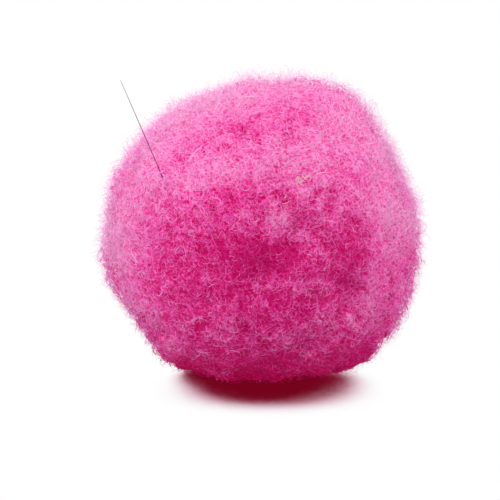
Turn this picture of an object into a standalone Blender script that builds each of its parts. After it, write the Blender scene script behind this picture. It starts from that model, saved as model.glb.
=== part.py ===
"""A craft pom pom of brushed pink fibre, 25 mm across, with the fine free end of its tie.

The pile is one solid: a core from which nearly 300 locks of fibre stand out to a lumpy
outline. Each lock has three or four sides. The locks are parted by narrow grooves and joined
only at their roots. Those underneath are shorter and end level on the surface that the pom
pom rests on. The tie's free end is a fine tapering strand, seated in a slim channel between
the locks.

Frame: metres, +Z up, the origin on the resting surface under the middle of the ball. The
front looks towards -Y.
"""

import math

import bmesh
import bpy
import numpy as np
from mathutils import Matrix, Vector

MM = 0.001

# Driving sizes.
HALF_WIDTH = 12.45 * MM
HALF_DEPTH = 12.20 * MM
HALF_HEIGHT = 12.15 * MM
CENTRE_HEIGHT = 11.45 * MM

# Bumps and dents of the outline, seen from the ball's centre. Azimuth runs from +X towards
# +Y, so -90 is the front. Spread is the angle at which a bump has fallen to about a third.
#   azimuth, elevation, spread (degrees), height (mm)
BUMPS = (
    # round the side-to-side outline
    (0, 58, 16, 0.70),
    (0, 26, 15, -0.70),
    (180, 65, 24, -1.00),
    (180, 37, 16, -0.46),
    (180, 4, 16, -0.12),
    (180, -60, 13, 0.62),
    (0, -38, 21, 0.95),
    (0, -80, 10, -0.35),
    # a brow across the front, with a shallow valley over it
    (-125, 30, 14, 0.42),
    (-95, 34, 13, 0.50),
    (-60, 26, 14, 0.46),
    (-92, 56, 13, -0.50),
    # the front's pits and the lumps between them
    (-89, -5, 9, -0.62),
    (-55, -12, 10, -0.58),
    (-74, 9, 7, -0.40),
    (-72, -4, 8, 0.40),
    (-118, 0, 14, -0.26),
    (-84, -26, 12, 0.44),
    (-118, -34, 12, 0.36),
    (-68, -36, 8, -0.42),
    (-50, -38, 11, 0.38),
    # the back
    (95, 38, 16, 0.48),
    (55, 12, 14, 0.40),
    (128, 4, 15, 0.46),
    (88, 6, 11, -0.50),
    (60, -28, 14, 0.44),
    (112, -32, 13, -0.40),
    (75, 62, 12, -0.42),
    (140, 40, 12, 0.34),
    (32, 34, 12, -0.36),
    (152, -30, 13, 0.40),
)

# The locks. Their corners start on a jittered spiral and are then evened out.
LAYOUT_POINTS = 262
LAYOUT_JITTER = 0.10
LAYOUT_SEED = 7
EVENING_ROUNDS = 4
EVENING_SHARE = 0.5
JOIN_ANGLE = math.radians(80)
CORE_SHARE = 0.68
GROOVE = 0.36 * MM
RAGGED = 0.20 * MM
#   share of the way from the core to the tip, share of the lock's full width
LOCK_RINGS = (
    (0.52, 1.00),
    (0.90, 0.90),
    (1.00, 0.52),
)

# A slow sideways drift of the pile, so that the locks don't stand dead straight.
LEAN = 0.055
LEVEL_POWER = 4
#   pushes along, varies along (0 X, 1 Y, 2 Z), rate, phase (radians), share
SWIRLS = (
    (0, 1, 3.1, 1.3, 1.0),
    (0, 2, 5.2, 0.0, 0.6),
    (1, 2, 2.7, 0.4, 1.0),
    (1, 0, 4.6, 2.0, 0.6),
    (2, 0, 3.4, 2.2, 1.0),
    (2, 1, 4.9, 0.7, 0.6),
)

# The tie's free end, as places on the front of the ball.
TIE_ENTRY = Vector((-7.57, -8.00, 17.33)) * MM
TIE_TIP = Vector((-10.53, -8.50, 24.48)) * MM
TIE_BURIED = 3.00 * MM
TIE_ROOT_RADIUS = 0.040 * MM
TIE_TIP_RADIUS = 0.020 * MM
TIE_CLEARANCE = 0.30 * MM
TIE_SIDES = 8
CHANNEL_SIDES = 6
CHANNEL_PROUD = 3.0 * MM
SHARP_ANGLE = math.radians(50)

# Finishes.
PILE_PINK = (0.83, 0.075, 0.34, 1.0)
PILE_ROUGHNESS = 0.9
TIE_GREY = (0.055, 0.030, 0.045, 1.0)
TIE_ROUGHNESS = 0.45

UP = Vector((0.0, 0.0, 1.0))


def clear_scene():
    for obj in list(bpy.data.objects):
        bpy.data.objects.remove(obj, do_unlink=True)


def material(name, colour, roughness):
    made = bpy.data.materials.new(name)
    made.use_nodes = True
    shader = made.node_tree.nodes["Principled BSDF"]
    shader.inputs["Base Color"].default_value = colour
    shader.inputs["Roughness"].default_value = roughness
    shader.inputs["Metallic"].default_value = 0.0
    return made


def direction(azimuth, elevation):
    """The unit vector at these angles, in degrees."""
    a = math.radians(azimuth)
    e = math.radians(elevation)
    return Vector((math.cos(a) * math.cos(e), math.sin(a) * math.cos(e), math.sin(e)))


BUMP_FIELD = tuple(
    (direction(azimuth, elevation), math.radians(spread), height * MM)
    for azimuth, elevation, spread, height in BUMPS
)


def reach(way):
    """How far the pile stands from the ball's centre along the unit vector way."""
    oval = 1.0 / math.sqrt(
        (way.x / HALF_WIDTH) ** 2 + (way.y / HALF_DEPTH) ** 2 + (way.z / HALF_HEIGHT) ** 2
    )
    lumps = sum(
        height * math.exp(-((way.angle(middle) / spread) ** 2))
        for middle, spread, height in BUMP_FIELD
    )
    return oval + lumps


def swirl(way):
    """The pile's sideways drift at the unit vector way, square to it."""
    drift = Vector()
    for pushes, along, rate, phase, share in SWIRLS:
        drift[pushes] += share * math.sin(rate * way[along] + phase)
    return drift - way * drift.dot(way)


def layout_points():
    """Directions spread evenly over the ball by a spiral, then jittered a little."""
    draw = np.random.default_rng(LAYOUT_SEED)
    golden = math.pi * (3.0 - math.sqrt(5.0))
    spacing = math.sqrt(4.0 * math.pi / LAYOUT_POINTS)
    points = []
    for n in range(LAYOUT_POINTS):
        z = 1.0 - 2.0 * (n + 0.5) / LAYOUT_POINTS
        ring = math.sqrt(1.0 - z * z)
        point = Vector((ring * math.cos(golden * n), ring * math.sin(golden * n), z))
        point += Vector(draw.normal(0.0, 1.0, 3)) * LAYOUT_JITTER * spacing
        points.append(point.normalized())
    return points


def even_out(bm):
    """Moves the corners towards their neighbours' middle, round the unit ball."""
    for _ in range(EVENING_ROUNDS):
        bmesh.ops.smooth_vert(
            bm,
            verts=bm.verts,
            factor=EVENING_SHARE,
            use_axis_x=True,
            use_axis_y=True,
            use_axis_z=True,
        )
        for vert in bm.verts:
            vert.co.normalize()


def lock_layout():
    """A closed mesh of triangles and quads round a unit ball, one face for each lock."""
    bm = bmesh.new()
    for point in layout_points():
        bm.verts.new(point)
    bmesh.ops.convex_hull(bm, input=bm.verts)
    bmesh.ops.join_triangles(
        bm,
        faces=bm.faces,
        cmp_seam=False,
        cmp_sharp=False,
        angle_face_threshold=JOIN_ANGLE,
        angle_shape_threshold=JOIN_ANGLE,
    )
    even_out(bm)
    # One lock stands squarely under the middle of the ball.
    lowest = min(bm.faces, key=lambda f: f.calc_center_median().normalized().z)
    turn = lowest.calc_center_median().rotation_difference(-UP)
    bmesh.ops.transform(bm, matrix=turn.to_matrix().to_4x4(), verts=bm.verts)
    return bm


def on_floor(way, distance):
    """The distance cut down so that its end doesn't pass the resting surface."""
    if way.z >= 0.0:
        return distance
    return min(distance, CENTRE_HEIGHT / -way.z)


def grow_lock(bm, face, corners, uneven):
    """Raises one lock from its root face on the core, ring by ring, out to its tip."""
    axis = sum(corners, Vector()).normalized()
    full_width = 2.0 * math.sqrt(face.calc_area() / len(corners)) / CORE_SHARE
    bmesh.ops.inset_individual(bm, faces=[face], thickness=0.5 * GROOVE)
    for outward, width in LOCK_RINGS:
        top = bmesh.ops.extrude_discrete_faces(bm, faces=[face])["faces"][0]
        share = width * (1.0 - GROOVE / full_width)
        for vert, corner in zip(top.verts, corners):
            way = (axis + (corner - axis) * share).normalized()
            level = max(0.0, -way.z) ** LEVEL_POWER
            way = (way + swirl(way) * LEAN * outward * (1.0 - level)).normalized()
            tip = on_floor(way, reach(way) + uneven)
            root = CORE_SHARE * on_floor(way, reach(way))
            vert.co = way * (root + (tip - root) * outward)
        face = top


def pile_mesh():
    """The core and its locks as one closed mesh."""
    draw = np.random.default_rng(LAYOUT_SEED + 1)
    bm = lock_layout()
    ways = {vert: vert.co.normalized() for vert in bm.verts}
    for vert, way in ways.items():
        vert.co = way * on_floor(way, reach(way)) * CORE_SHARE
    for face in list(bm.faces):
        corners = [ways[vert] for vert in face.verts]
        grow_lock(bm, face, corners, draw.uniform(-RAGGED, RAGGED))
    bmesh.ops.translate(bm, vec=UP * CENTRE_HEIGHT, verts=bm.verts)
    bmesh.ops.recalc_face_normals(bm, faces=bm.faces)
    mesh = bpy.data.meshes.new("pile")
    bm.to_mesh(mesh)
    bm.free()
    return mesh


def strand(name, start, end, start_radius, end_radius, sides):
    """A straight tapering rod between two points."""
    length = (end - start).length
    bm = bmesh.new()
    bmesh.ops.create_cone(
        bm,
        cap_ends=True,
        segments=sides,
        radius1=start_radius,
        radius2=end_radius,
        depth=length,
    )
    turn = (end - start).to_track_quat("Z", "Y").to_matrix().to_4x4()
    place = Matrix.Translation((start + end) / 2) @ turn
    bmesh.ops.transform(bm, matrix=place, verts=bm.verts)
    mesh = bpy.data.meshes.new(name)
    bm.to_mesh(mesh)
    bm.free()
    mesh.shade_smooth()
    mesh.set_sharp_from_angle(angle=SHARP_ANGLE)
    obj = bpy.data.objects.new(name, mesh)
    bpy.context.scene.collection.objects.link(obj)
    return obj


def build_pile():
    pile = bpy.data.objects.new("pompom", pile_mesh())
    bpy.context.scene.collection.objects.link(pile)
    pile.data.materials.append(material("pile", PILE_PINK, PILE_ROUGHNESS))
    return pile


def build_tie(pile):
    """The tie's free end, and the channel that it is seated in."""
    along = (TIE_TIP - TIE_ENTRY).normalized()
    root = TIE_ENTRY - along * TIE_BURIED
    tie = strand("tie_end", root, TIE_TIP, TIE_ROOT_RADIUS, TIE_TIP_RADIUS, TIE_SIDES)
    tie.data.materials.append(material("tie", TIE_GREY, TIE_ROUGHNESS))
    wide = TIE_ROOT_RADIUS + TIE_CLEARANCE / math.cos(math.pi / CHANNEL_SIDES)
    channel = strand(
        "channel_cutter",
        root - along * TIE_CLEARANCE,
        TIE_ENTRY + along * CHANNEL_PROUD,
        wide,
        wide,
        CHANNEL_SIDES,
    )
    channel.hide_render = True
    channel.display_type = "WIRE"
    cut = pile.modifiers.new("tie_channel", "BOOLEAN")
    cut.operation = "DIFFERENCE"
    cut.object = channel
    return tie


def main():
    clear_scene()
    pile = build_pile()
    build_tie(pile)


main()
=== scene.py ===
"""Yarn pom pom: the brushed pile, its loose wisps and the tie's free end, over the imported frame."""

import math

import bpy
import numpy as np
from bpy.props import FloatProperty, FloatVectorProperty, IntProperty, PointerProperty
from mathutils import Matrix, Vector


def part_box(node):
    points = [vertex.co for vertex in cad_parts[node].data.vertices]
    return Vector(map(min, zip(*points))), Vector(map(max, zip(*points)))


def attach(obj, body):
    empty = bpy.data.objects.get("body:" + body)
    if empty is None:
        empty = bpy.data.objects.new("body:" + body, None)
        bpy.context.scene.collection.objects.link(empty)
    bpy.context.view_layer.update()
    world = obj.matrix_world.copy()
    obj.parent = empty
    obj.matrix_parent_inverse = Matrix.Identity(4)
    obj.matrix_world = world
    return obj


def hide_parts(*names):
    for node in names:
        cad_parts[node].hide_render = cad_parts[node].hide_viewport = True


bl_info = {
    "name": "Yarn Pom Pom",
    "version": (1, 0, 0),
    "blender": (4, 5, 0),
    "location": "View3D > Sidebar > Pom Pom",
    "description": "Brushed fibre pile, wisps and tie end of a craft pom pom",
    "category": "Object",
}

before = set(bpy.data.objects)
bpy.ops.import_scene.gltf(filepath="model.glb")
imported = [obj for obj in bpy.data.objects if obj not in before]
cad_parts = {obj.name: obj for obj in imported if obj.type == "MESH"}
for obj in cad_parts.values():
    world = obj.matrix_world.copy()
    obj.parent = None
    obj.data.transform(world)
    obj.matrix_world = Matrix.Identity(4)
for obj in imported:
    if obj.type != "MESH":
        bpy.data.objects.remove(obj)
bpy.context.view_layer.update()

MM = 0.001
ROOT = "root"
PILE_NODE = "pompom"
TIE_NODE = "tie_end"

# The ball, in millimetres, as its solid is built.
HALF_SIZES = np.array((12.45, 12.20, 12.15))
CENTRE_HEIGHT = 11.45
BALL_RADIUS = 12.3
# The pile's least height over the floor. Then how deep its loose fuzz is at most, and as a
# share of that at the middle height, its rise to the crown and its least.
FLOOR_GAP = 0.06
FUZZ_DEPTH = 0.12
FUZZ_SHARES = (0.82, 0.36, 0.45)
# Heights on a unit ball: the least fall of a way that can meet the floor, and from where a
# way counts as upright.
LEAST_FALL = 0.01
NEARLY_UPRIGHT = 0.9

# Bumps and dents of the outline, seen from the ball's centre. Azimuth runs from +X towards
# +Y, so -90 is the front. Spread is the angle at which a bump has fallen to about a third.
#   azimuth, elevation, spread (degrees), height (mm)
BUMPS = (
    # round the side-to-side outline
    (0, 58, 16, 0.70),
    (0, 26, 15, -0.70),
    (180, 65, 24, -1.00),
    (180, 37, 16, -0.46),
    (180, 4, 16, -0.12),
    (180, -60, 13, 0.62),
    (0, -38, 21, 0.95),
    (0, -80, 10, -0.35),
    # a brow across the front, with a shallow valley over it
    (-125, 30, 14, 0.42),
    (-95, 34, 13, 0.50),
    (-60, 26, 14, 0.46),
    (-92, 56, 13, -0.50),
    # the front's pits and the lumps between them
    (-89, -5, 9, -0.62),
    (-55, -12, 10, -0.58),
    (-74, 9, 7, -0.40),
    (-72, -4, 8, 0.40),
    (-118, 0, 14, -0.26),
    (-84, -26, 12, 0.44),
    (-118, -34, 12, 0.36),
    (-68, -36, 8, -0.42),
    (-50, -38, 11, 0.38),
    # small corrections of the outline
    (-17, -55, 11, 0.66),
    (-162, -54, 12, 0.16),
    (19, 56, 9, -0.16),
    (160, 57, 9, -0.20),
    (-177, -16, 9, 0.45),
    (180, 6, 9, -0.30),
    (-3, -13, 9, 0.28),
    # the back
    (95, 38, 16, 0.48),
    (55, 12, 14, 0.40),
    (128, 4, 15, 0.46),
    (88, 6, 11, -0.50),
    (60, -28, 14, 0.44),
    (112, -32, 13, -0.40),
    (75, 62, 12, -0.42),
    (140, 40, 12, 0.34),
    (32, 34, 12, -0.36),
    (152, -30, 13, 0.40),
)

# Tufts on top of the lumps: waves that cross at random.
#   shortest, longest wave (mm), height (mm), number of waves, seed
TUFTS = (
    (3.6, 6.5, 0.13, 22, 3),
    (1.3, 2.4, 0.085, 30, 5),
)
# The pile stands up a little round the tie, whose end is buried in it.
TIE_TUFT = (-132, 26, 9, 0.46)

# Small clumps of fibres: waves, how much paler and higher (mm) a clump is, and how much
# thinner the fibres lie between clumps. The paleness is painted light on the clumps and painted
# shade between them.
CLUMP_WAVES = (0.65, 1.6, 40, 9)
CLUMP_SHADE = 0.18
CLUMP_LIFT = 0.06
CLUMP_GAPS = 0.65

# Painted light and shade over the pile's middle shade, with some of its own uneven tone: paler
# where light falls on the crown, the brow, the lumps and the rim, deeper where shade falls in the
# pits, the valley, the middle of the front and the underside.
#   azimuth, elevation, spread (degrees), change of shade
SHADES = (
    # the crown and the sides, painted paler as lit from above and at the rim
    (-90, 90, 46, 0.41),
    (-130, 58, 18, 0.12),
    (-118, 48, 8, -0.12),
    (-130, 35, 9, -0.24),
    (-144, 33, 18, 0.30),
    (-158, -2, 20, 0.46),
    (-24, 4, 22, 0.40),
    (-22, 34, 10, 0.18),
    (-40, 11, 12, 0.18),
    (-36, 46, 16, 0.34),
    # the brow across the front, painted paler as lit, with the valley over it in painted shade
    (-126, 26, 12, 0.44),
    (-108, 30, 11, 0.44),
    (-80, 34, 12, 0.42),
    (-58, 25, 12, 0.18),
    (-100, 49, 12, -0.32),
    (-104, 49, 5, 0.08),
    (-58, 60, 11, -0.26),
    (-46, 27, 7, -0.10),
    (-101, 37, 7, 0.20),
    (-113, 40, 6, -0.18),
    (-27, 44, 9, -0.14),
    (-78, 61, 8, -0.08),
    (-145, 14, 9, -0.10),
    (-133, 30, 5, -0.16),
    # the middle of the front, in painted shade, with its pits painted deeper and its lumps paler
    (-88, -2, 36, -0.20),
    (-89, 2, 8, -0.82),
    (-55, -4, 9, -0.60),
    (-106, 4, 8, -0.12),
    (-105, 20, 9, -0.27),
    (-121, 16, 8, -0.28),
    (-85, 11, 7, 0.70),
    (-82, 20, 7, -0.20),
    (-113, 20, 5, -0.12),
    (-70, 25, 5, -0.10),
    (-64, -1, 7, 0.26),
    (-62, 8, 7, -0.22),
    (-73, -18, 7, -0.28),
    (-73, 5, 6, 0.10),
    (-76, -10, 6, 0.37),
    (-89, -9, 6, 0.36),
    (-96, 14, 7, 0.06),
    (-120, -3, 9, -0.24),
    (-138, -1, 5, 0.28),
    (-131, -16, 9, -0.34),
    (-119, -21, 7, 0.16),
    (-146, -26, 9, 0.16),
    (-57, -24, 12, 0.18),
    (-69, -31, 6, -0.14),
    (-30, -20, 11, -0.20),
    (-15, -8, 9, -0.14),
    (-46, -20, 7, 0.16),
    (-96, -16, 10, 0.05),
    # the underside, in painted shade
    (-90, -90, 48, -0.66),
    (-135, -36, 9, 0.04),
    (-103, -43, 8, -0.30),
    (-62, -45, 7, 0.36),
    (-43, -47, 9, -0.66),
    # the back, mostly paler on its lumps and deeper in its dents, as painted light and shade
    (95, 38, 16, 0.18),
    (88, 2, 30, -0.20),
    (60, -10, 10, -0.16),
    (112, -26, 12, -0.14),
    (128, 8, 13, 0.16),
    (55, 18, 12, 0.16),
    (84, -8, 7, 0.14),
)
# How much paler a tuft is by its height (mm), as painted light on the tufts and painted shade in
# the hollows, and the least shade. How much paler fibres are than the pile under them, which is
# painted shade under the fibres, the palest, their spread, and how mottling fades with the shade.
TUFT_SHADE = 1.25
LEAST_SHADE = 0.0
FIBRE_PALER = 0.10
PALEST = 0.90
FIBRE_SPREAD = 0.21
PALE_FADE = (1.45, 0.4)
# Where the pile's painted mottling of light and shade is weaker, so that it is less mottled.
#   azimuth, elevation, spread (degrees), share of the mottling that goes
SMOOTH = (
    (-90, 90, 38, 0.75),
    (-172, 22, 30, 0.60),
    (-12, 48, 22, 0.45),
)

# The packed bed under the fibres: its divisions, how much deeper its shade is, as painted shade
# under the fibres, how it rises near the floor (heights on a unit ball, least share of its depth),
# and its clumps (mm).
BED_DIVISIONS = 6
BED_DEEPER = 0.10
BED_SHALLOW = (-0.95, -0.55)
BED_LEAST = 0.42
BED_ROUGH = 0.10

# Which way the fibres lie: shortest and longest wave (mm), number of waves, seed.
FLOW_WAVES = (3.0, 6.0, 16, 21)
# Where the fibres thin out underneath: starts, ends (height on a unit ball), share left.
UNDERSIDE = (-0.93, -0.99, 0.12)
LOOSE_UNDERSIDE = (-0.78, -0.93, 0.0)

# The crimped fibres that make up the pile's surface: their share of the whole, the points
# in each, and the least and most of its span, its curl's radius (mm) and its turns.
FLUFF_KINDS = (
    ("long_fluff", 0.22, 11, (0.35, 1.05), (0.09, 0.24), (0.8, 1.6)),
    ("short_fluff", 0.78, 7, (0.15, 0.50), (0.07, 0.17), (0.5, 1.0)),
)
SHORT_FLUFF = FLUFF_KINDS[1][2:]
FLUFF_SEED = 17
FLUFF_SCATTER = 0.012
FLUFF_SIZES = (0.75, 1.2)
# How high a fibre lies, how far its root dips and its tip turns in (mm), and how sharply.
# How its heights are spread, how much higher it lies low on the ball (mm), how far its
# heading strays (radians), and how upright its curl stands at most.
CURL_LIFT = (-0.62, 0.12)
CURL_DEPTH = (0.10, 0.50)
TIP_IN = (0.0, 0.35)
ROOT_BEND = 2.2
TIP_BEND = 4
CURL_HEIGHTS = (1.7, 2.2)
LOW_LIFT = 0.08
CURL_SPREAD = 1.0
CURL_TILT = 0.9
# A fibre's sides, the step over which the pile's slope is taken (on a unit ball), and how
# far its fibres are shaded as the pile is.
FIBRE_SIDES = 3
NORMAL_STEP = 0.03
EVEN_SHADING = 0.65
# How blunt a fibre's ends are: it narrows over its length divided by this.
BLUNT = 4.5
BLUNT_FINE = 4.0

# Fibres that cross the tie where it enters the pile.
#   azimuth, elevation, spread (degrees), number, extra lift (mm)
TIE_COVER = (-132.6, 26.2, 1.5, 20, 0.20)
# How far up the tie's end its dark colour holds, as a share.
TIE_DYED = 0.56

# Lint caught in the pile: knots of pale fibre.
#   azimuth, elevation, spread (degrees), number of fibres
LINT = (
    (-75.0, 28.0, 0.8, 10),
    (-71.2, 29.6, 0.5, 6),
    (-80.9, 23.0, 1.4, 3),
)
LINT_LIFT = 0.08
LINT_TONES = (0.5, 1.0)
LINT_SEED = 63

# The fine loose hairs, a bow each: its root's height, its least and most width and how far
# it bends aside (mm), how its heights are spread, and how far its tip turns down.
WISP_POINTS = 5
WISP_ROOT = -0.60
WISP_SPAN = (0.5, 1.8)
WISP_BEND = 0.35
WISP_HEIGHTS = (1.2, 2.2)
WISP_TURN = (0.35, 1.0)
WISP_SIZES = (0.7, 1.2)
WISP_SEED = 41
LOOSE_SCATTER = 0.02

# The haze of finest hairs, each bent once: its root's height and its least and most length
# (mm), how far it leans from upright (degrees) and bends (mm), and how much paler it is, partly
# a painted glow round the ball's rim.
HAZE_POINTS = 3
HAZE_ROOT = -0.25
HAZE_LENGTH = (0.5, 1.7)
HAZE_LEAN = (25.0, 80.0)
HAZE_BEND = 0.12
HAZE_PALER = 0.10

# Longer straight hairs that lie on the pile, two placed and more at random. Then the random
# ones' length, every one's lift (mm), its bow aside by its length, and how much paler it is.
#   azimuth, elevation (degrees), heading (degrees from east towards north), length (mm)
STRAYS = (
    (-125.8, 60.2, 105.0, 2.3),
    (-115.5, 8.0, 170.0, 0.9),
)
MORE_STRAYS = 45
STRAY_LENGTH = (0.9, 2.2)
STRAY_LIFT = (0.12, 0.34)
STRAY_POINTS = 5
STRAY_BOW = 0.12
STRAY_PALER = 0.38

# Light that soaks through a fibre: its share and colour. Then the sheen, and white.
SOAK_SHARE = 0.80
SOAK_COLOUR = (1.0, 0.56, 0.82, 1.0)
SHEEN_ROUGHNESS = 0.5
SHEEN_TINT = (1.0, 0.30, 0.65, 1.0)
WHITE = (1.0, 1.0, 1.0, 1.0)
# A dyed fibre's shade at which it is middling, how far up it the painted shade at its root
# reaches, and its roughness where it is deep and where it is pale.
MIDDLE_TONE = 0.5
ROOT_REACH = 0.65
DYED_ROUGHNESS = (0.62, 0.42)

# Sectors of the ball, so that no piece is too heavy. Azimuths in degrees.
SECTORS = (
    ("front", -150, -30),
    ("back_right", -30, 90),
    ("back_left", 90, 210),
)

# Webs of crinkled lines in the packed pile's finish: lines in a metre, width, shift (m) and
# weight. Then what a web and the grain bring on average, the grain's lines in a metre and
# detail, the contrast, the relief's strength and height (m), and the light that soaks in.
BED_WEBS = (
    (2300.0, 0.12, 0.0, 0.8),
    (3000.0, 0.13, 0.013, 0.8),
    (1800.0, 0.07, 0.029, 1.0),
)
WEB_MEAN = 0.45
GRAIN_MEAN = 0.5
GRAIN = (900.0, 4.0)
BED_CONTRAST = 0.42
BED_RELIEF = (0.6, 0.00008)
BED_ROUGHNESS = 0.9
BED_SHEEN = 0.10
BED_SOAK = 0.25
TIE_ROUGHNESS = 0.6
SHADE_NAME = "pile_shade"

# The painted shadow on the floor, which only the camera sees: where the light it stands for comes
# from (azimuth, elevation), how far off the ball still shades it (mm), and its painted colour by
# the share of that light that gets through.
SHADE_FACING = (96, 35)
SHADE_REACH = 15.0
SHADE_SAMPLES = 32
SHADE_STOPS = (
    (0.32, (0.172, 0.0012, 0.011)),
    (0.370, (0.24, 0.007, 0.050)),
    (0.384, (0.456, 0.162, 0.231)),
    (0.413, (0.590, 0.330, 0.402)),
    (0.438, (0.80, 0.60, 0.68)),
    (0.484, (0.94, 0.90, 0.91)),
    (0.53, (1.0, 1.0, 1.0)),
)
# It is lighter towards its two ends: how far to the sides that begins and is full (mm), by
# how much, and from where to where, front to back (mm), that comes in.
SHADE_ENDS = (1.6, 4.4)
SHADE_ENDS_LIGHTER = 0.030
SHADE_ENDS_FADE = (-10.5, -5.5)
# The painted glow of the floor, which lights the ball from below: how far out (mm) the painted
# crimson near the ball is full and gone, that colour, and its strength.
BOARD_SHADED = (5.0, 17.0)
BOARD_PAINTED_GLOW = (0.56, 0.03, 0.24, 1.0)
BOARD_LIGHT = 1.5
FLOOR_SIZE = 3.0

# The soft lights: place (m), size (m) and power (W). Then how bright the white world looks
# and how strongly it lights, and the camera's sensor (mm) and clipping (m).
LAMPS = (
    ("top_light", (-0.06, 0.05, 0.36), 0.30, 0.68),
    ("front_light", (0.04, -0.24, 0.30), 0.25, 0.84),
    ("back_light", (0.05, 0.34, 0.16), 0.25, 0.4),
    ("left_light", (-0.32, -0.10, 0.14), 0.22, 0.85),
    ("right_light", (0.34, 0.02, 0.14), 0.22, 0.82),
)
WORLD_SEEN = 1.0
WORLD_LIGHT = 0.55
SENSOR_WIDTH = 36.0
CLIP_START = 0.01
CLIP_END = 10.0

# Each fibre keeps its shade in a strip of the map, this far from the map's edge.
STRIP = 0.006
MAP_NAME = "OFBake"


def unit(vectors):
    return vectors / np.linalg.norm(vectors, axis=-1, keepdims=True)


def direction(azimuth, elevation):
    """The unit vector at these angles, in degrees."""
    a = math.radians(azimuth)
    e = math.radians(elevation)
    return np.array((math.cos(a) * math.cos(e), math.sin(a) * math.cos(e), math.sin(e)))


def nearness(ways, azimuth, elevation, spread):
    """How near each unit vector is to a direction: 1 on it, about a third at the spread."""
    angle = np.arccos(np.clip(ways @ direction(azimuth, elevation), -1.0, 1.0))
    return np.exp(-((angle / math.radians(spread)) ** 2))


def lumps(ways):
    """How far the ball's bumps and dents raise it along each unit vector."""
    raised = np.zeros(len(ways))
    for *place, height in (*BUMPS, TIE_TUFT):
        raised += height * nearness(ways, *place)
    return raised


def waves(ways, shortest, longest, count, seed):
    """A smooth random field over the ball, mostly from -1 to 1."""
    draw = np.random.default_rng(seed)
    heading = unit(draw.normal(size=(count, 3)))
    rate = math.tau * BALL_RADIUS / draw.uniform(shortest, longest, count)
    phase = draw.uniform(0.0, math.tau, count)
    return np.sin(ways @ (heading * rate[:, None]).T + phase).sum(1) / math.sqrt(count)


def tufts(ways, kinds=TUFTS):
    """The height of the small tufts along each unit vector."""
    return sum(
        height * waves(ways, shortest, longest, count, seed)
        for shortest, longest, height, count, seed in kinds
    )


def clumps(ways):
    """Where the small clumps of fibre lie, mostly from -1 to 1."""
    return waves(ways, *CLUMP_WAVES)


def fuzz_share(height):
    """How deep the loose fuzz is, from the underside to the crown, as a share of its most."""
    middle, rise, least = FUZZ_SHARES
    return np.clip(middle + rise * height, least, 1.0)


def pile_top(ways, kinds=TUFTS):
    """How far the pile's surface stands from the ball's centre along each unit vector."""
    oval = 1.0 / np.sqrt(((ways / HALF_SIZES) ** 2).sum(1))
    fuzz = FUZZ_DEPTH * fuzz_share(ways[:, 2])
    top = oval - fuzz + lumps(ways) + tufts(ways, kinds)
    level = CENTRE_HEIGHT / np.maximum(-ways[:, 2], LEAST_FALL)
    return np.where(ways[:, 2] < 0.0, np.minimum(top, level), top)


def spiral(count):
    """Unit vectors spread evenly over the ball."""
    n = np.arange(count)
    z = 1.0 - 2.0 * (n + 0.5) / count
    ring = np.sqrt(1.0 - z * z)
    turn = math.pi * (3.0 - math.sqrt(5.0)) * n
    return np.stack((ring * np.cos(turn), ring * np.sin(turn), z), 1)


def scattered(draw, count, scatter):
    """Unit vectors spread almost evenly over the ball."""
    return unit(spiral(count) + draw.normal(0.0, scatter, (count, 3)))


def side_axes(ways):
    """Two unit vectors square to each way and to each other."""
    upright = np.abs(ways[:, 2:]) < NEARLY_UPRIGHT
    start = np.where(upright, (0.0, 0.0, 1.0), (1.0, 0.0, 0.0))
    first = unit(np.cross(start, ways))
    return first, np.cross(ways, first)


def placed(ways, rise):
    """Points in metres, each rise millimetres above the pile's surface along its way."""
    points = ways * (pile_top(ways) + rise)[:, None]
    points[:, 2] += CENTRE_HEIGHT
    points[:, 2] = np.maximum(points[:, 2], FLOOR_GAP)
    return points * MM


def pile_normals(ways):
    """Unit vectors square to the pile's surface, its smallest tufts smoothed over."""
    broad = TUFTS[:1]
    here = pile_top(ways, broad)[:, None]
    slope = 0.0
    for axis in side_axes(ways):
        rise = pile_top(unit(ways + axis * NORMAL_STEP), broad)[:, None] - here
        slope = slope + axis * (rise / NORMAL_STEP)
    return unit(ways - slope / here)


def blank_mesh(name, points, faces):
    """A mesh object from arrays of points and of triangles."""
    mesh = bpy.data.meshes.new(name)
    mesh.vertices.add(len(points))
    mesh.vertices.foreach_set("co", points.astype(np.float32).ravel())
    mesh.loops.add(faces.size)
    mesh.loops.foreach_set("vertex_index", faces.astype(np.int32).ravel())
    mesh.polygons.add(len(faces))
    mesh.polygons.foreach_set("loop_start", np.arange(0, faces.size, 3, dtype=np.int32))
    mesh.update(calc_edges=True)
    mesh.validate()
    mesh.shade_smooth()
    obj = bpy.data.objects.new(name, mesh)
    bpy.context.scene.collection.objects.link(obj)
    return obj


def between_ends(paths, rings):
    """All the rings' points of each fibre, between its path's first point and its last."""
    return np.concatenate((paths[:, :1], rings.reshape(len(paths), -1, 3), paths[:, -1:]), axis=1)


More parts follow.
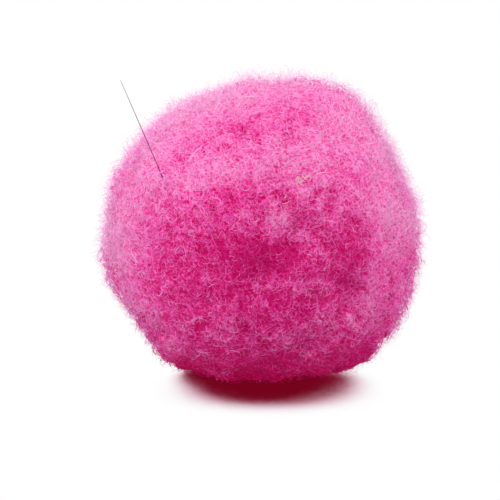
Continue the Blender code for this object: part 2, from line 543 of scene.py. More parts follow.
def fibres(name, paths, radii, tone):
    """Joins fibres into one closed-tube mesh. paths is fibre by point by XYZ, radii fibre by
    point, with both ends drawn to a point, and tone gives each fibre its shade. The fibres
    are shaded in part as the pile's surface under them is, as light soaks through them."""
    count, steps, _ = paths.shape
    rings = steps - 2
    tangent = unit(np.gradient(paths, axis=1))
    side = side_axes(tangent[:, 0])[0]
    centre = np.array((0.0, 0.0, CENTRE_HEIGHT * MM))
    surface = pile_normals(unit(paths.reshape(-1, 3) - centre)).reshape(paths.shape)
    ring_points = np.empty((count, rings, FIBRE_SIDES, 3))
    ring_normals = np.empty_like(ring_points)
    turn = math.tau * np.arange(FIBRE_SIDES) / FIBRE_SIDES
    for k in range(rings):
        along = tangent[:, k + 1]
        side = unit(side - along * (side * along).sum(1, keepdims=True))
        other = np.cross(along, side)
        spoke = (
            side[:, None] * np.cos(turn)[None, :, None]
            + other[:, None] * np.sin(turn)[None, :, None]
        )
        reach = radii[:, k + 1, None, None]
        ring_points[:, k] = paths[:, k + 1, None] + spoke * reach
        even = surface[:, k + 1, None]
        ring_normals[:, k] = unit(spoke * (1.0 - EVEN_SHADING) + even * EVEN_SHADING)
    points = between_ends(paths, ring_points)
    normals = between_ends(surface, ring_normals)
    faces, along, across = tube_pattern(rings)
    per_fibre = points.shape[1]
    start = np.arange(count) * per_fibre
    all_faces = (faces[None] + start[:, None, None]).reshape(-1, 3)
    obj = blank_mesh(name, points.reshape(-1, 3), all_faces)
    obj.data.normals_split_custom_set_from_vertices(normals.reshape(-1, 3))
    layer = obj.data.uv_layers.new(name=MAP_NAME)
    spots = np.empty((count, len(along), 2), np.float32)
    spots[:, :, 0] = along
    spots[:, :, 1] = tone[:, None] * (1.0 - 2.0 * STRIP) + STRIP * (0.5 + across)
    layer.uv.foreach_set("vector", spots.ravel())
    return obj


def tube_pattern(rings):
    """The triangles of one fibre, and for each of their corners how far it is along the
    fibre and which side of its strip it is on, from 0 to 1."""
    faces = []
    along = []
    across = []
    last = rings * FIBRE_SIDES + 1
    place = np.arange(rings + 2) / (rings + 1)

    def add(*corners):
        faces.append([vertex for vertex, _, _ in corners])
        along.extend(place[step] for _, step, _ in corners)
        across.extend(edge for _, _, edge in corners)

    for j in range(FIBRE_SIDES):
        near = 1 + j
        far = 1 + (j + 1) % FIBRE_SIDES
        add((0, 0, 0.5), (far, 1, 1.0), (near, 1, 0.0))
        for k in range(rings - 1):
            a = near + k * FIBRE_SIDES
            b = far + k * FIBRE_SIDES
            c = b + FIBRE_SIDES
            d = a + FIBRE_SIDES
            add((a, k + 1, 0.0), (b, k + 1, 1.0), (c, k + 2, 1.0))
            add((a, k + 1, 0.0), (c, k + 2, 1.0), (d, k + 2, 0.0))
        a = near + (rings - 1) * FIBRE_SIDES
        b = far + (rings - 1) * FIBRE_SIDES
        add((a, rings, 0.0), (b, rings, 1.0), (last, rings + 1, 0.5))
    return np.array(faces), np.array(along), np.array(across)


def between(draw, limits, count):
    return draw.uniform(limits[0], limits[1], count)


def shades(ways):
    """The pile's shade along each unit vector, from 0, deep, to 1, pale: painted light and shade,
    with the tufts and clumps painted paler than the hollows between them.
    """
    shade = np.full(len(ways), MIDDLE_TONE)
    for *place, change in SHADES:
        shade += change * nearness(ways, *place)
    # Painted light on the tufts and clumps, painted shade in the hollows between them.
    mottle = TUFT_SHADE * tufts(ways) + CLUMP_SHADE * clumps(ways)
    return np.maximum(shade + mottle * contrast_left(ways, shade), LEAST_SHADE)


def contrast_left(ways, shade):
    """How strongly the pile is mottled: less where it is pale or brushed smooth."""
    most, least = PALE_FADE
    left = np.clip(most - shade, least, 1.0)
    for *place, gone in SMOOTH:
        left *= 1.0 - gone * nearness(ways, *place)
    return left


def fibre_tone(draw, ways):
    """The shade of each fibre, from 0, deep, to 1, pale. It is paler than the pile under it, most of
    all where that is deep, which leaves painted shade under the fibres."""
    shade = shades(ways)
    strayed = draw.normal(0.0, FIBRE_SPREAD, len(ways)) * contrast_left(ways, shade)
    shade += FIBRE_PALER * (1.0 - shade) + strayed
    return np.clip(shade, 0.0, PALEST)


def lint_tone(draw, ways):
    return between(draw, LINT_TONES, len(ways))


def keep_shown(draw, ways, start, end, least):
    """Leaves most fibres off the underside, which is pressed to the floor."""
    shown = np.clip((ways[:, 2] - end) / (start - end), 0.0, 1.0)
    return ways[draw.uniform(size=len(ways)) < least + (1.0 - least) * shown]


def thin_between_clumps(draw, ways):
    """Leaves some fibres out of the gaps between the small clumps."""
    return ways[draw.uniform(size=len(ways)) < 1.0 + CLUMP_GAPS * clumps(ways)]


def near(draw, azimuth, elevation, spread, count):
    """Unit vectors scattered round one direction. All the angles are in degrees."""
    away = draw.normal(0.0, math.radians(spread), (count, 3))
    return unit(direction(azimuth, elevation) + away)


def laid(ways, heading, onward, aside, rise):
    """Paths over the pile, fibre by point by XYZ, from how far each point lies onward along
    its fibre's heading, aside from it and above the surface, in millimetres."""
    east, north = side_axes(ways)
    c = np.cos(heading)
    d = np.sin(heading)
    moved = (
        ways[:, None] * BALL_RADIUS
        + east[:, None] * (onward * c - aside * d)[:, :, None]
        + north[:, None] * (onward * d + aside * c)[:, :, None]
    )
    return placed(unit(moved.reshape(-1, 3)), rise.ravel()).reshape(moved.shape)


def curl_paths(draw, ways, points, span, radius, turns, raised=0.0):
    """Crimped fibres that rise out of the pile and curl over its surface."""
    count = len(ways)
    flow = math.pi * waves(ways, *FLOW_WAVES)
    heading = (flow + draw.normal(0.0, CURL_SPREAD, count))[:, None]
    s = np.linspace(0.0, 1.0, points)[None]
    length = between(draw, span, count)[:, None]
    curl = between(draw, radius, count)[:, None]
    turned = between(draw, turns, count)[:, None]
    phase = draw.uniform(0.0, math.tau, count)[:, None]
    depth = between(draw, CURL_DEPTH, count)[:, None]
    low, high = CURL_LIFT
    lift = raised + low + (high - low) * draw.beta(*CURL_HEIGHTS, count)[:, None]
    lift += CLUMP_LIFT * clumps(ways)[:, None] + LOW_LIFT * (1.0 - fuzz_share(ways[:, 2:]))
    upright = draw.uniform(-CURL_TILT, CURL_TILT, count)[:, None]
    tip_in = between(draw, TIP_IN, count)[:, None]
    turning = math.tau * turned * s + phase
    onward = length * (s - 0.5) + curl * np.cos(turning)
    aside = curl * np.sqrt(1.0 - upright**2) * np.sin(turning)
    dip = depth * (1.0 - s) ** ROOT_BEND
    rise = lift - dip - tip_in * s**TIP_BEND + curl * upright * np.sin(turning)
    return laid(ways, heading, onward, aside, rise)


def wisp_paths(draw, ways, reach):
    """Fine hairs that bow out of the pile, higher towards the top, up to a reach in mm."""
    count = len(ways)
    s = np.linspace(0.0, 1.0, WISP_POINTS)[None]
    heading = draw.uniform(0.0, math.tau, count)[:, None]
    span = between(draw, WISP_SPAN, count)[:, None]
    bend = draw.normal(0.0, WISP_BEND, count)[:, None]
    top = reach * fuzz_share(ways[:, 2:]) * draw.beta(*WISP_HEIGHTS, count)[:, None]
    turned = 1.0 - 0.5 * between(draw, WISP_TURN, count)[:, None]
    arch = np.sin(math.pi * turned * s) / np.sin(math.pi * np.minimum(turned, 0.5))
    rise = WISP_ROOT + (top - WISP_ROOT) * arch
    return laid(ways, heading, span * s, bend * s * s, rise)


def haze_paths(draw, ways):
    """The finest hairs, leaning every way out of the pile, each bent at its middle."""
    count = len(ways)
    heading = draw.uniform(0.0, math.tau, count)[:, None]
    lean = np.radians(between(draw, HAZE_LEAN, count))[:, None]
    length = between(draw, HAZE_LENGTH, count)[:, None] * fuzz_share(ways[:, 2:])
    bend = draw.normal(0.0, HAZE_BEND, (count, 2))
    s = np.linspace(0.0, 1.0, HAZE_POINTS)[None]
    bent = np.array((0.0, 1.0, 0.0))[None]
    onward = length * np.sin(lean) * s + bend[:, :1] * bent
    rise = HAZE_ROOT + length * np.cos(lean) * s
    return laid(ways, heading, onward, bend[:, 1:] * bent, rise)


def stray_paths(draw, ways, heading, length):
    """Straight hairs on the pile that rise a little along their middle."""
    count = len(ways)
    s = np.linspace(-0.5, 0.5, STRAY_POINTS)[None]
    onward = length[:, None] * s
    aside = draw.normal(0.0, STRAY_BOW, count)[:, None] * length[:, None] * s * s
    lift = between(draw, STRAY_LIFT, count)[:, None]
    rise = lift - 2.0 * STRAY_LIFT[1] * s * s
    return laid(ways, heading[:, None], onward, aside, rise)


def tapered(radii, ways, points, blunt):
    """Fibres' radii, fibre by point: each fibre's own, fallen to nothing at both ends."""
    s = np.linspace(0.0, 1.0, points)
    shares = np.clip(np.minimum(s, 1.0 - s) * blunt, 0.0, 1.0) ** 0.5
    return np.broadcast_to(radii, len(ways))[:, None] * shares[None]


def short_curls(name, draw, ways, raised, radius, tone):
    """A piece of short crimped fibres, one on each way. The tone function draws their shades."""
    points, *shape = SHORT_FLUFF
    paths = curl_paths(draw, ways, points, *shape, raised)
    radii = tapered(radius, ways, points, BLUNT)
    return fibres(name, paths, radii, tone(draw, ways))


def shared_group(name, taken, given, fill):
    """A shader group, made once: its inputs, each a kind, a name and a value, its outputs, and
    the function that fills it from its inputs."""
    group = bpy.data.node_groups.get(name)
    if group:
        return group
    group = bpy.data.node_groups.new(name, "ShaderNodeTree")
    add = group.interface.new_socket
    for kind, label, value in taken:
        socket = add(name=label, in_out="INPUT", socket_type="NodeSocket" + kind)
        if value is not None:
            socket.default_value = value
    for kind, label in given:
        add(name=label, in_out="OUTPUT", socket_type="NodeSocket" + kind)
    source = group.nodes.new("NodeGroupInput")
    source.location = (-900, 0)
    result = group.nodes.new("NodeGroupOutput")
    result.location = (500, 0)
    feed(group, result, fill(group, source.outputs))
    return group


def feed(tree, made, inputs):
    """Links or sets a node's inputs, each given by its name or number."""
    for name, value in inputs.items():
        if isinstance(value, bpy.types.NodeSocket):
            tree.links.new(value, made.inputs[name])
        else:
            made.inputs[name].default_value = value


def node(tree, kind, place, inputs=None, **settings):
    made = tree.nodes.new("ShaderNode" + kind)
    made.location = place
    for name, value in settings.items():
        setattr(made, name, value)
    feed(tree, made, inputs or {})
    return made


def sums(tree, operation, place, *values, **settings):
    """The result of an operation on one, two or three numbers."""
    inputs = dict(enumerate(values))
    made = node(tree, "Math", place, inputs, operation=operation, **settings)
    return made.outputs[0]


def ranged(tree, place, value, given=(0.0, 1.0), wanted=(0.0, 1.0), kind="LINEAR"):
    """A value moved from one range to another."""
    inputs = {"Value": value, "From Min": given[0], "From Max": given[1]}
    inputs.update({"To Min": wanted[0], "To Max": wanted[1]})
    made = node(tree, "MapRange", place, inputs, interpolation_type=kind)
    return made.outputs["Result"]


def mixed_colour(tree, place, factor, first, second):
    inputs = {0: factor, 6: first, 7: second}
    return node(tree, "Mix", place, inputs, data_type="RGBA").outputs[2]


def mixed_finish(tree, place, share, first, second):
    """Mixes two shaders and makes the mix the material's surface."""
    inputs = {0: share, 1: first.outputs[0], 2: second.outputs[0]}
    mix = node(tree, "MixShader", place, inputs)
    feed(tree, tree.nodes["Material Output"], {"Surface": mix.outputs[0]})
    return mix


def new_finish(name):
    """A material, its node tree and its shader."""
    made = bpy.data.materials.new(name)
    made.use_nodes = True
    return made, made.node_tree, made.node_tree.nodes["Principled BSDF"]


def fibre_tint_and_shade_group():
    """A shader group: the colour of a dyed fibre by its shade and by how far along it is, deeper
    towards its root as painted shade deep in the pile.
    """
    taken = (
        ("Float", "Along", 0.5),
        ("Float", "Tone", 0.5),
        ("Color", "Deep", (0.5, 0.01, 0.12, 1.0)),
        ("Color", "Middle", (0.8, 0.08, 0.35, 1.0)),
        ("Color", "Pale", (0.9, 0.4, 0.65, 1.0)),
        ("Float", "Root Shade", 0.6),
    )
    given = (("Color", "Colour"), ("Float", "Roughness"))

    def fill(group, source):
        tone = source["Tone"]
        shaded = source["Root Shade"]
        low = ranged(group, (-450, 200), tone, (0.0, MIDDLE_TONE))
        high = ranged(group, (-450, -60), tone, (MIDDLE_TONE, 1.0))
        reach = (0.0, ROOT_REACH)
        # Towards its root a fibre is mixed to its deep colour: painted shade deep in the pile.
        root = ranged(group, (-450, -320), source["Along"], reach, (0.0, shaded), "SMOOTHSTEP")
        left = sums(group, "SUBTRACT", (-250, -320), shaded, root)
        first = mixed_colour(group, (-200, 150), low, source["Deep"], source["Middle"])
        second = mixed_colour(group, (0, 100), high, first, source["Pale"])
        third = mixed_colour(group, (200, 50), left, second, source["Deep"])
        rough = ranged(group, (0, -300), tone, wanted=DYED_ROUGHNESS)
        return {"Colour": third, "Roughness": rough}

    return shared_group("Fibre Tint and Shade", taken, given, fill)


def tint_and_shade(tree, place, colours, along, tone, root_shade):
    """The outputs of the fibre tint and shade group, in a finish."""
    inputs = dict(zip(("Deep", "Middle", "Pale"), colours))
    inputs.update({"Along": along, "Tone": tone, "Root Shade": root_shade})
    group = fibre_tint_and_shade_group()
    return node(tree, "Group", place, inputs, node_tree=group).outputs


def soft_finish(tree, shader, colour, roughness, sheen):
    """Sets a dull shader with the sheen of brushed fibre."""
    inputs = {"Base Color": colour, "Roughness": roughness, "Specular IOR Level": 0.0}
    inputs.update({"Sheen Weight": sheen, "Sheen Roughness": SHEEN_ROUGHNESS})
    feed(tree, shader, {**inputs, "Sheen Tint": SHEEN_TINT})


def see_through(tree, shader, share, glow):
    """Mixes a share of light that soaks through into a finish."""
    soaked = node(tree, "BsdfTranslucent", (0, -500), {"Color": glow})
    return mixed_finish(tree, (300, 0), share, shader, soaked)


def thin_shadow(tree, shader):
    """Lets part of the light through a finish, dyed, so that it casts a thin shadow."""
    path = node(tree, "LightPath", (0, 600)).outputs
    let_through = sums(tree, "MULTIPLY", (300, 500), path["Is Shadow Ray"], SOAK_SHARE)
    clear = node(tree, "BsdfTransparent", (300, -300), {"Color": SOAK_COLOUR})
    mixed_finish(tree, (600, 0), let_through, shader, clear)


def fibre_material(name, colours, root_shade, sheen, soak):
    """A finish for fibres. It reads how far along and which shade from the piece's UV map."""
    made, tree, shader = new_finish(name)
    layout = node(tree, "UVMap", (-900, 0), uv_map=MAP_NAME).outputs["UV"]
    parts = node(tree, "SeparateXYZ", (-700, 0), {0: layout}).outputs
    tint = tint_and_shade(tree, (-450, 0), colours, parts["X"], parts["Y"], root_shade)
    soft_finish(tree, shader, tint["Colour"], tint["Roughness"], sheen)
    thin_shadow(tree, see_through(tree, shader, soak, tint["Colour"]))
    return made


def curled_strands_group():
    """A shader group: thin crinkled lines over a surface, 1 on a line and 0 between lines."""
    taken = (
        ("Vector", "Place", None),
        ("Float", "Scale", 2000.0),
        ("Float", "Width", 0.04),
    )

    def fill(group, source):
        inputs = {"Vector": source["Place"], "Scale": source["Scale"]}
        inputs.update({"Detail": 1.0, "Roughness": 0.4})
        field = node(group, "TexNoise", (-650, 0), inputs).outputs["Fac"]
        middle = sums(group, "SUBTRACT", (-400, 0), field, 0.5)
        away = sums(group, "ABSOLUTE", (-200, 0), middle)
        width = (0.0, source["Width"])
        return {"Strands": ranged(group, (100, 0), away, width, (1.0, 0.0), "SMOOTHSTEP")}

    return shared_group("Curled Strands", taken, (("Float", "Strands"),), fill)


def bed_material(colours):
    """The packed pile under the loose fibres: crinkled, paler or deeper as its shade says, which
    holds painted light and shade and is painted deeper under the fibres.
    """
    made, tree, shader = new_finish("packed_pile")
    place = node(tree, "TexCoord", (-1900, 0)).outputs["Object"]
    shade = node(tree, "Attribute", (-1300, 400), attribute_name=SHADE_NAME)
    inputs = {"Vector": place, "Scale": GRAIN[0], "Detail": GRAIN[1]}
    webs = node(tree, "TexNoise", (-1300, 150), inputs).outputs["Fac"]
    share = GRAIN_MEAN
    strands = curled_strands_group()
    for row, (scale, width, shift, weight) in enumerate(BED_WEBS):
        down = -300 * row
        inputs = {0: place, 1: (shift, shift, shift)}
        moved = node(tree, "VectorMath", (-1600, down), inputs, operation="ADD")
        inputs = {"Place": moved.outputs[0], "Scale": scale, "Width": width}
        web = node(tree, "Group", (-1300, down), inputs, node_tree=strands)
        webs = sums(tree, "MULTIPLY_ADD", (-1000, down), web.outputs["Strands"], weight, webs)
        share += WEB_MEAN * weight
    level = sums(tree, "SUBTRACT", (-800, 0), webs, share)
    contrast = sums(tree, "MULTIPLY", (-600, 0), level, BED_CONTRAST)
    tone = sums(tree, "ADD", (-450, 200), shade.outputs["Fac"], contrast, use_clamp=True)
    tint = tint_and_shade(tree, (-250, 200), colours, 1.0, tone, 0.0)
    inputs = {"Strength": BED_RELIEF[0], "Distance": BED_RELIEF[1], "Height": webs}
    bump = node(tree, "Bump", (-250, -200), inputs)
    soft_finish(tree, shader, tint["Colour"], BED_ROUGHNESS, BED_SHEEN)
    feed(tree, shader, {"Normal": bump.outputs["Normal"]})
    see_through(tree, shader, BED_SOAK, tint["Colour"])
    return made


def tie_material(dark, faded, low, high):
    """A smooth dark thread that pales towards its fine tip."""
    made, tree, shader = new_finish("tie_thread")
    place = node(tree, "TexCoord", (-900, 0)).outputs["Object"]
    parts = node(tree, "SeparateXYZ", (-700, 0), {0: place}).outputs
    along = ranged(tree, (-500, 0), parts["Z"], (low, high), kind="SMOOTHSTEP")
    colour = mixed_colour(tree, (-250, 0), along, dark, faded)
    inputs = {"Base Color": colour, "Roughness": TIE_ROUGHNESS, "Specular IOR Level": 0.0}
    feed(tree, shader, inputs)
    return made


def colour_property(name, description, *rgb):
    return FloatVectorProperty(
        name=name, description=description, default=(*rgb, 1.0), size=4, subtype="COLOR"
    )


def length_property(name, description, millimetres):
    return FloatProperty(
        name=name, description=description, default=millimetres * MM, unit="LENGTH"
    )


def count_property(name, description, number):
    return IntProperty(name=name, description=description, default=number)


class PileBedSettings(bpy.types.PropertyGroup):
    depth: length_property("Depth", "How far the packed pile lies under the fibres' tips", 0.60)
    # The bed's deep colour shows as painted shade in the hollows and under the fibres.
    deep: colour_property("Hollows", "Colour of the pile's hollows", 0.52, 0.003, 0.125)
    middle: colour_property(
        "Strands", "Colour of the strands in the packed pile", 0.77, 0.060, 0.35
    )
    pale: colour_property(
        "Pale strands", "Colour of the palest strands in the packed pile", 0.82, 0.29, 0.58
    )


class FluffSettings(bpy.types.PropertyGroup):
    count: count_property("Fibres", "Number of crimped fibres before they are thinned", 25000)
    radius: length_property("Radius", "Radius of a crimped fibre at its middle", 0.029)
    # The deep colour is also the painted shade at the fibres' roots and in the pile's hollows.
    deep: colour_property(
        "Deep", "Colour of the darkest fibres and of the roots", 0.64, 0.003, 0.18
    )
    middle: colour_property("Middle", "Colour of most fibres", 0.88, 0.15, 0.59)
    pale: colour_property("Pale", "Colour of the palest fibres", 0.81, 0.45, 0.74)


class WispSettings(bpy.types.PropertyGroup):
    count: count_property("Wisps", "Number of fine loose hairs before they are thinned", 3000)
    haze: count_property("Haze", "Number of the finest hairs before they are thinned", 32000)
    # The finest hairs' pale colour is partly a painted glow round the ball's rim.
    haze_pale: colour_property(
        "Haze colour", "Colour of the palest of the finest hairs", 0.90, 0.60, 0.80
    )
    haze_radius: length_property(
        "Haze radius", "Radius of the finest hairs at their middle", 0.0075
    )
    radius: length_property("Radius", "Radius of a wisp at its middle", 0.009)
    stray_radius: length_property(
        "Stray radius", "Radius of the longer straight hairs at their middle", 0.024
    )
    reach: length_property("Reach", "How far the longest wisps stand out of the pile", 1.05)


class LintSettings(bpy.types.PropertyGroup):
    radius: length_property("Radius", "Radius of a lint fibre at its middle", 0.034)
    deep: colour_property("Deep", "Colour of the lint where it lies in the pile", 0.66, 0.22, 0.30)
    cream: colour_property("Cream", "Colour of the lint", 0.76, 0.50, 0.54)


class TieSettings(bpy.types.PropertyGroup):
    dark: colour_property("Thread", "Colour of the tie's thread near the pile", 0.09, 0.0012, 0.040)
    faded: colour_property("Tip", "Colour of the tie's fine tip", 0.16, 0.17, 0.17)


class StageSettings(bpy.types.PropertyGroup):
    distance: length_property("Camera distance", "From the camera to the ball's centre", 300.0)
    elevation: FloatProperty(
        name="Camera elevation",
        description="The camera's height above the horizon",
        default=math.radians(12.0),
        subtype="ANGLE",
    )
    ball_width: FloatProperty(
        name="Ball width in the view",
        description="The ball's width as a share of the view's width",
        default=321.0 / 500.0,
    )
    ball_place: FloatVectorProperty(
        name="Ball's place in the view",
        description="Right and up from the view's middle, as shares of its width",
        default=(11.0 / 500.0, 22.0 / 500.0),
        size=2,
    )


def finish_piece(piece, finish):
    """Gives a piece of the pile its finish and its place in the frame."""
    piece.data.materials.clear()
    piece.data.materials.append(finish)
    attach(piece, ROOT)
    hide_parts(PILE_NODE)


def halves(kind, finish, ways, paths, radii, tone):
    """Makes one kind of fibre in two pieces, the front half and the back half."""
    front = ways[:, 1] < 0.0
    for side, chosen in (("front", front), ("back", ~front)):
        piece = fibres(kind + "_" + side, paths[chosen], radii[chosen], tone[chosen])
        finish_piece(piece, finish)


class POMPOM_OT_pile_bed(bpy.types.Operator):
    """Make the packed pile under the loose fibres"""

    bl_idname = "pompom.pile_bed"
    bl_label = "Pile Bed"

    def execute(self, context):
        settings = context.scene.pompom_bed
        bpy.ops.object.select_all(action="DESELECT")
        bpy.ops.mesh.primitive_ico_sphere_add(subdivisions=BED_DIVISIONS, radius=1.0)
        bed = context.object
        bed.name = "packed_pile"
        bed.data.name = "packed_pile"
        ways = np.empty(len(bed.data.vertices) * 3, np.float32)
        bed.data.vertices.foreach_get("co", ways)
        ways = unit(ways.reshape(-1, 3).astype(float))
        low, high = BED_SHALLOW
        shallow = np.clip((ways[:, 2] - low) / (high - low), BED_LEAST, 1.0)
        points = placed(ways, BED_ROUGH * clumps(ways) - settings.depth / MM * shallow)
        bed.data.vertices.foreach_set("co", points.astype(np.float32).ravel())
        shade = shades(ways)
        # The bed is painted deeper than the fibres over it: painted shade under the fibres.
        shade -= BED_DEEPER * (1.0 - shade)
        layer = bed.data.attributes.new(SHADE_NAME, "FLOAT", "POINT")
        layer.data.foreach_set("value", shade.astype(np.float32))
        bed.data.update()
        bpy.ops.object.shade_smooth()
        finish_piece(bed, bed_material((settings.deep, settings.middle, settings.pale)))
        return {"FINISHED"}


class POMPOM_OT_fluff(bpy.types.Operator):
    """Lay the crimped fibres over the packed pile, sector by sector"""

    bl_idname = "pompom.fluff"
    bl_label = "Fluff"

    def execute(self, context):
        settings = context.scene.pompom_fluff
        draw = np.random.default_rng(FLUFF_SEED)
        colours = (settings.deep, settings.middle, settings.pale)
        finish = fibre_material("brushed_fibre", colours, root_shade=0.75, sheen=0.10, soak=0.42)
        for kind, share, points, *shape in FLUFF_KINDS:
            ways = scattered(draw, round(settings.count * share), FLUFF_SCATTER)
            ways = thin_between_clumps(draw, keep_shown(draw, ways, *UNDERSIDE))
            tone = fibre_tone(draw, ways)
            paths = curl_paths(draw, ways, points, *shape)
            sizes = settings.radius * between(draw, FLUFF_SIZES, len(ways))
            radii = tapered(sizes, ways, points, BLUNT)
            azimuth = np.degrees(np.arctan2(ways[:, 1], ways[:, 0]))
            azimuth = np.where(azimuth < SECTORS[0][1], azimuth + 360.0, azimuth)
            for side, low, high in SECTORS:
                chosen = (azimuth >= low) & (azimuth < high)
                name = kind + "_" + side
                finish_piece(fibres(name, paths[chosen], radii[chosen], tone[chosen]), finish)
        *place, raised = TIE_COVER
        ways = near(draw, *place)
        cover = short_curls("tie_cover", draw, ways, raised, settings.radius, fibre_tone)
        finish_piece(cover, finish)
        return {"FINISHED"}


class POMPOM_OT_lint(bpy.types.Operator):
    """Catch the few knots of lint in the pile"""

    bl_idname = "pompom.lint"
    bl_label = "Lint"

    def execute(self, context):
        settings = context.scene.pompom_lint
        draw = np.random.default_rng(LINT_SEED)
        ways = np.concatenate([near(draw, *place) for place in LINT])
        lint = short_curls("lint", draw, ways, LINT_LIFT, settings.radius, lint_tone)
        colours = (settings.deep, settings.cream, settings.cream)
        finish = fibre_material("lint_fibre", colours, root_shade=0.2, sheen=0.0, soak=0.3)
        finish_piece(lint, finish)
        return {"FINISHED"}


class POMPOM_OT_wisps(bpy.types.Operator):
    """Add the fine loose hairs that blur the ball's edge"""

    bl_idname = "pompom.wisps"
    bl_label = "Wisps"

    def execute(self, context):
        settings = context.scene.pompom_wisps
        fluff = context.scene.pompom_fluff
        draw = np.random.default_rng(WISP_SEED)
        look = {"root_shade": 0.3, "sheen": 0.0, "soak": 0.4}
        loose = fibre_material("loose_fibre", (fluff.deep, fluff.middle, fluff.pale), **look)
        fine = fibre_material("haze_fibre", (fluff.deep, fluff.middle, settings.haze_pale), **look)
        ways = keep_shown(draw, scattered(draw, settings.count, LOOSE_SCATTER), *LOOSE_UNDERSIDE)
        tone = fibre_tone(draw, ways)
        paths = wisp_paths(draw, ways, settings.reach / MM)
        sizes = settings.radius * between(draw, WISP_SIZES, len(ways))
        radii = tapered(sizes, ways, WISP_POINTS, BLUNT_FINE)
        wisps = ("loose_wisps", loose, ways, paths, radii, tone)
        ways = keep_shown(draw, scattered(draw, settings.haze, LOOSE_SCATTER), *LOOSE_UNDERSIDE)
        # The haze is painted paler, partly a painted glow round the ball's rim.
        tone = fibre_tone(draw, ways) + HAZE_PALER
        radii = tapered(settings.haze_radius, ways, HAZE_POINTS, BLUNT_FINE)
        haze = ("haze", fine, ways, haze_paths(draw, ways), radii, tone)
        given = np.array(STRAYS)
        fixed = np.array([direction(*stray[:2]) for stray in STRAYS])
        ways = keep_shown(draw, unit(draw.normal(size=(MORE_STRAYS, 3))), *LOOSE_UNDERSIDE)
        turned = np.concatenate((np.radians(given[:, 2]), draw.uniform(0.0, math.pi, len(ways))))
        length = np.concatenate((given[:, 3], between(draw, STRAY_LENGTH, len(ways))))
        ways = np.concatenate((fixed, ways))
        paths = stray_paths(draw, ways, turned, length)
        radii = tapered(settings.stray_radius, ways, STRAY_POINTS, BLUNT_FINE)
        tone = np.clip(shades(ways) + STRAY_PALER, 0.0, 1.0)
        finish_piece(fibres("stray_hairs", paths, radii, tone), fine)
        halves(*wisps)
        halves(*haze)
        return {"FINISHED"}


class POMPOM_OT_tie_end(bpy.types.Operator):
    """Finish the tie's free end"""

    bl_idname = "pompom.tie_end"
    bl_label = "Tie End"

    def execute(self, context):
        settings = context.scene.pompom_tie
        low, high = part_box(TIE_NODE)
        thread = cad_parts[TIE_NODE]
        start = low[2] + TIE_DYED * (high[2] - low[2])
        finish = tie_material(settings.dark, settings.faded, start, high[2])
        thread.data.materials.clear()
        thread.data.materials.append(finish)
        return {"FINISHED"}


def softbox(name, place, size, power, target):
    """A round soft light that faces a target."""
    light = bpy.data.lights.new(name, "AREA")
    light.shape = "DISK"
    light.size = size
    light.energy = power
    lamp = bpy.data.objects.new(name, light)
    lamp.location = place
    lamp.rotation_euler = (target - Vector(place)).to_track_quat("-Z", "Y").to_euler()
    bpy.context.scene.collection.objects.link(lamp)


def studio_world(seen, lighting):
    """A white world, dimmer as a light than it looks."""
    world = bpy.data.worlds.new("studio")
    world.use_nodes = True
    tree = world.node_tree
    path = node(tree, "LightPath", (-600, 0)).outputs
    strength = ranged(tree, (-300, 0), path["Is Camera Ray"], wanted=(lighting, seen))
    feed(tree, tree.nodes["Background"], {"Color": WHITE, "Strength": strength})
    bpy.context.scene.world = world


def in_metres(limits):
    return [limit * MM for limit in limits]


def floor_material():
    """A white board that glows as a light from below, with a painted crimson glow near the ball. The
    camera sees it as plain white, with a painted soft crimson shadow where the ball would keep the
    light from above and behind off it."""
    made, tree, shader = new_finish("white_board")
    tree.nodes.remove(shader)
    place = node(tree, "TexCoord", (-1300, 0)).outputs["Object"]
    # Painted shadow: the camera's colour of the floor comes from how much of the light from above and
    # behind the ball hides.
    facing = dict(zip("XYZ", direction(*SHADE_FACING)))
    facing = node(tree, "CombineXYZ", (-1100, 200), facing).outputs[0]
    inputs = {"Distance": SHADE_REACH * MM, "Normal": facing}
    open_share = node(
        tree, "AmbientOcclusion", (-900, 200), inputs, samples=SHADE_SAMPLES
    ).outputs["AO"]
    apart = node(tree, "SeparateXYZ", (-1100, 600), {0: place}).outputs
    side = sums(tree, "ABSOLUTE", (-900, 700), apart["X"])
    ends = ranged(tree, (-700, 700), side, in_metres(SHADE_ENDS), (0.0, SHADE_ENDS_LIGHTER))
    ends_fade = ranged(tree, (-700, 450), apart["Y"], in_metres(SHADE_ENDS_FADE))
    lighter = sums(tree, "MULTIPLY_ADD", (-480, 500), ends, ends_fade, open_share)
    shade = node(tree, "ValToRGB", (-650, 200), {"Fac": lighter})
    stops = shade.color_ramp.elements
    while len(stops) < len(SHADE_STOPS):
        stops.new(1.0)
    for stop, (position, colour) in zip(stops, SHADE_STOPS):
        stop.position = position
        stop.color = (*colour, 1.0)
    # Painted glow: the board lights the ball from below, crimson near the ball.
    away = node(tree, "VectorMath", (-900, -200), {0: place}, operation="LENGTH")
    distance = away.outputs["Value"]
    lit = ranged(tree, (-650, -200), distance, in_metres(BOARD_SHADED), kind="SMOOTHSTEP")
    cast = mixed_colour(tree, (-450, -200), lit, BOARD_PAINTED_GLOW, WHITE)
    seen = node(tree, "Emission", (-300, 200), {"Color": shade.outputs["Color"]})
    inputs = {"Color": cast, "Strength": BOARD_LIGHT}
    bright = node(tree, "Emission", (-300, 0), inputs)
    path = node(tree, "LightPath", (-300, 600)).outputs
    mixed_finish(tree, (0, 200), path["Is Camera Ray"], bright, seen)
    return made


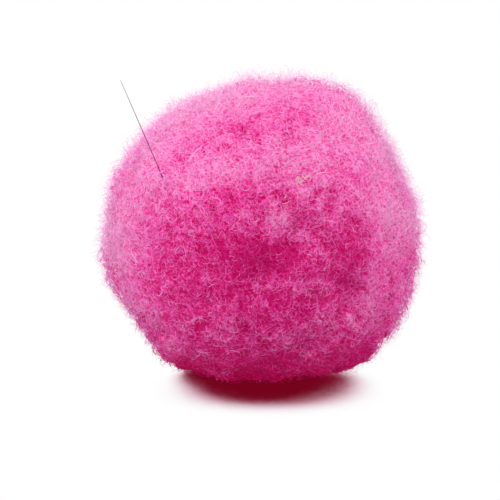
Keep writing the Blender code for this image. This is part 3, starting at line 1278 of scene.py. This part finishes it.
def view_camera(settings, centre):
    """A camera in front of the ball that frames it at the wanted size and place."""
    scene = bpy.context.scene
    data = bpy.data.cameras.new("view")
    camera = bpy.data.objects.new("view", data)
    scene.collection.objects.link(camera)
    radius = HALF_SIZES[0] * MM
    distance = settings.distance
    half_angle = radius / math.sqrt(distance**2 - radius**2)
    data.sensor_width = SENSOR_WIDTH
    data.lens = 0.5 * settings.ball_width / half_angle * data.sensor_width
    e = settings.elevation
    back = Vector((0.0, -math.cos(e), math.sin(e)))
    right = Vector((1.0, 0.0, 0.0))
    up = back.cross(right)
    view_width = distance * data.sensor_width / data.lens
    across, above = settings.ball_place
    aim = centre - right * across * view_width - up * above * view_width
    camera.location = aim + back * distance
    camera.rotation_euler = back.to_track_quat("Z", "Y").to_euler()
    data.clip_start = CLIP_START
    data.clip_end = CLIP_END
    scene.camera = camera


class POMPOM_OT_stage(bpy.types.Operator):
    """Set the pale floor, the soft lights and the camera"""

    bl_idname = "pompom.stage"
    bl_label = "Stage"

    def execute(self, context):
        centre = Vector((0.0, 0.0, CENTRE_HEIGHT * MM))
        bpy.ops.object.select_all(action="DESELECT")
        bpy.ops.mesh.primitive_plane_add(size=FLOOR_SIZE, location=(0.0, 0.0, 0.0))
        floor = context.object
        floor.name = "floor"
        floor.data.materials.append(floor_material())
        for lamp in LAMPS:
            softbox(*lamp, centre)
        studio_world(WORLD_SEEN, WORLD_LIGHT)
        view_camera(context.scene.pompom_stage, centre)
        context.scene.view_settings.view_transform = "Standard"
        return {"FINISHED"}


class POMPOM_PT_panel(bpy.types.Panel):
    """Lists the pom pom's pieces in the sidebar"""

    bl_idname = "POMPOM_PT_panel"
    bl_label = "Yarn Pom Pom"
    bl_space_type = "VIEW_3D"
    bl_region_type = "UI"
    bl_category = "Pom Pom"

    def draw(self, context):
        for name, settings, operator in PIECES:
            box = self.layout.box()
            group = getattr(context.scene, name)
            for setting in settings.__annotations__:
                box.prop(group, setting)
            box.operator(operator.bl_idname)


# Each piece's settings and the operator that makes it, in the panel's order.
PIECES = (
    ("pompom_bed", PileBedSettings, POMPOM_OT_pile_bed),
    ("pompom_fluff", FluffSettings, POMPOM_OT_fluff),
    ("pompom_wisps", WispSettings, POMPOM_OT_wisps),
    ("pompom_lint", LintSettings, POMPOM_OT_lint),
    ("pompom_tie", TieSettings, POMPOM_OT_tie_end),
    ("pompom_stage", StageSettings, POMPOM_OT_stage),
)


def register():
    for name, settings, operator in PIECES:
        bpy.utils.register_class(settings)
        bpy.utils.register_class(operator)
        setattr(bpy.types.Scene, name, PointerProperty(type=settings))
    bpy.utils.register_class(POMPOM_PT_panel)


def unregister():
    bpy.utils.unregister_class(POMPOM_PT_panel)
    for name, settings, operator in reversed(PIECES):
        delattr(bpy.types.Scene, name)
        bpy.utils.unregister_class(operator)
        bpy.utils.unregister_class(settings)


def main():
    register()
    bpy.ops.pompom.pile_bed()
    bpy.ops.pompom.fluff()
    bpy.ops.pompom.wisps()
    bpy.ops.pompom.lint()
    bpy.ops.pompom.tie_end()
    bpy.ops.pompom.stage()


if __name__ == "__main__":
    main()
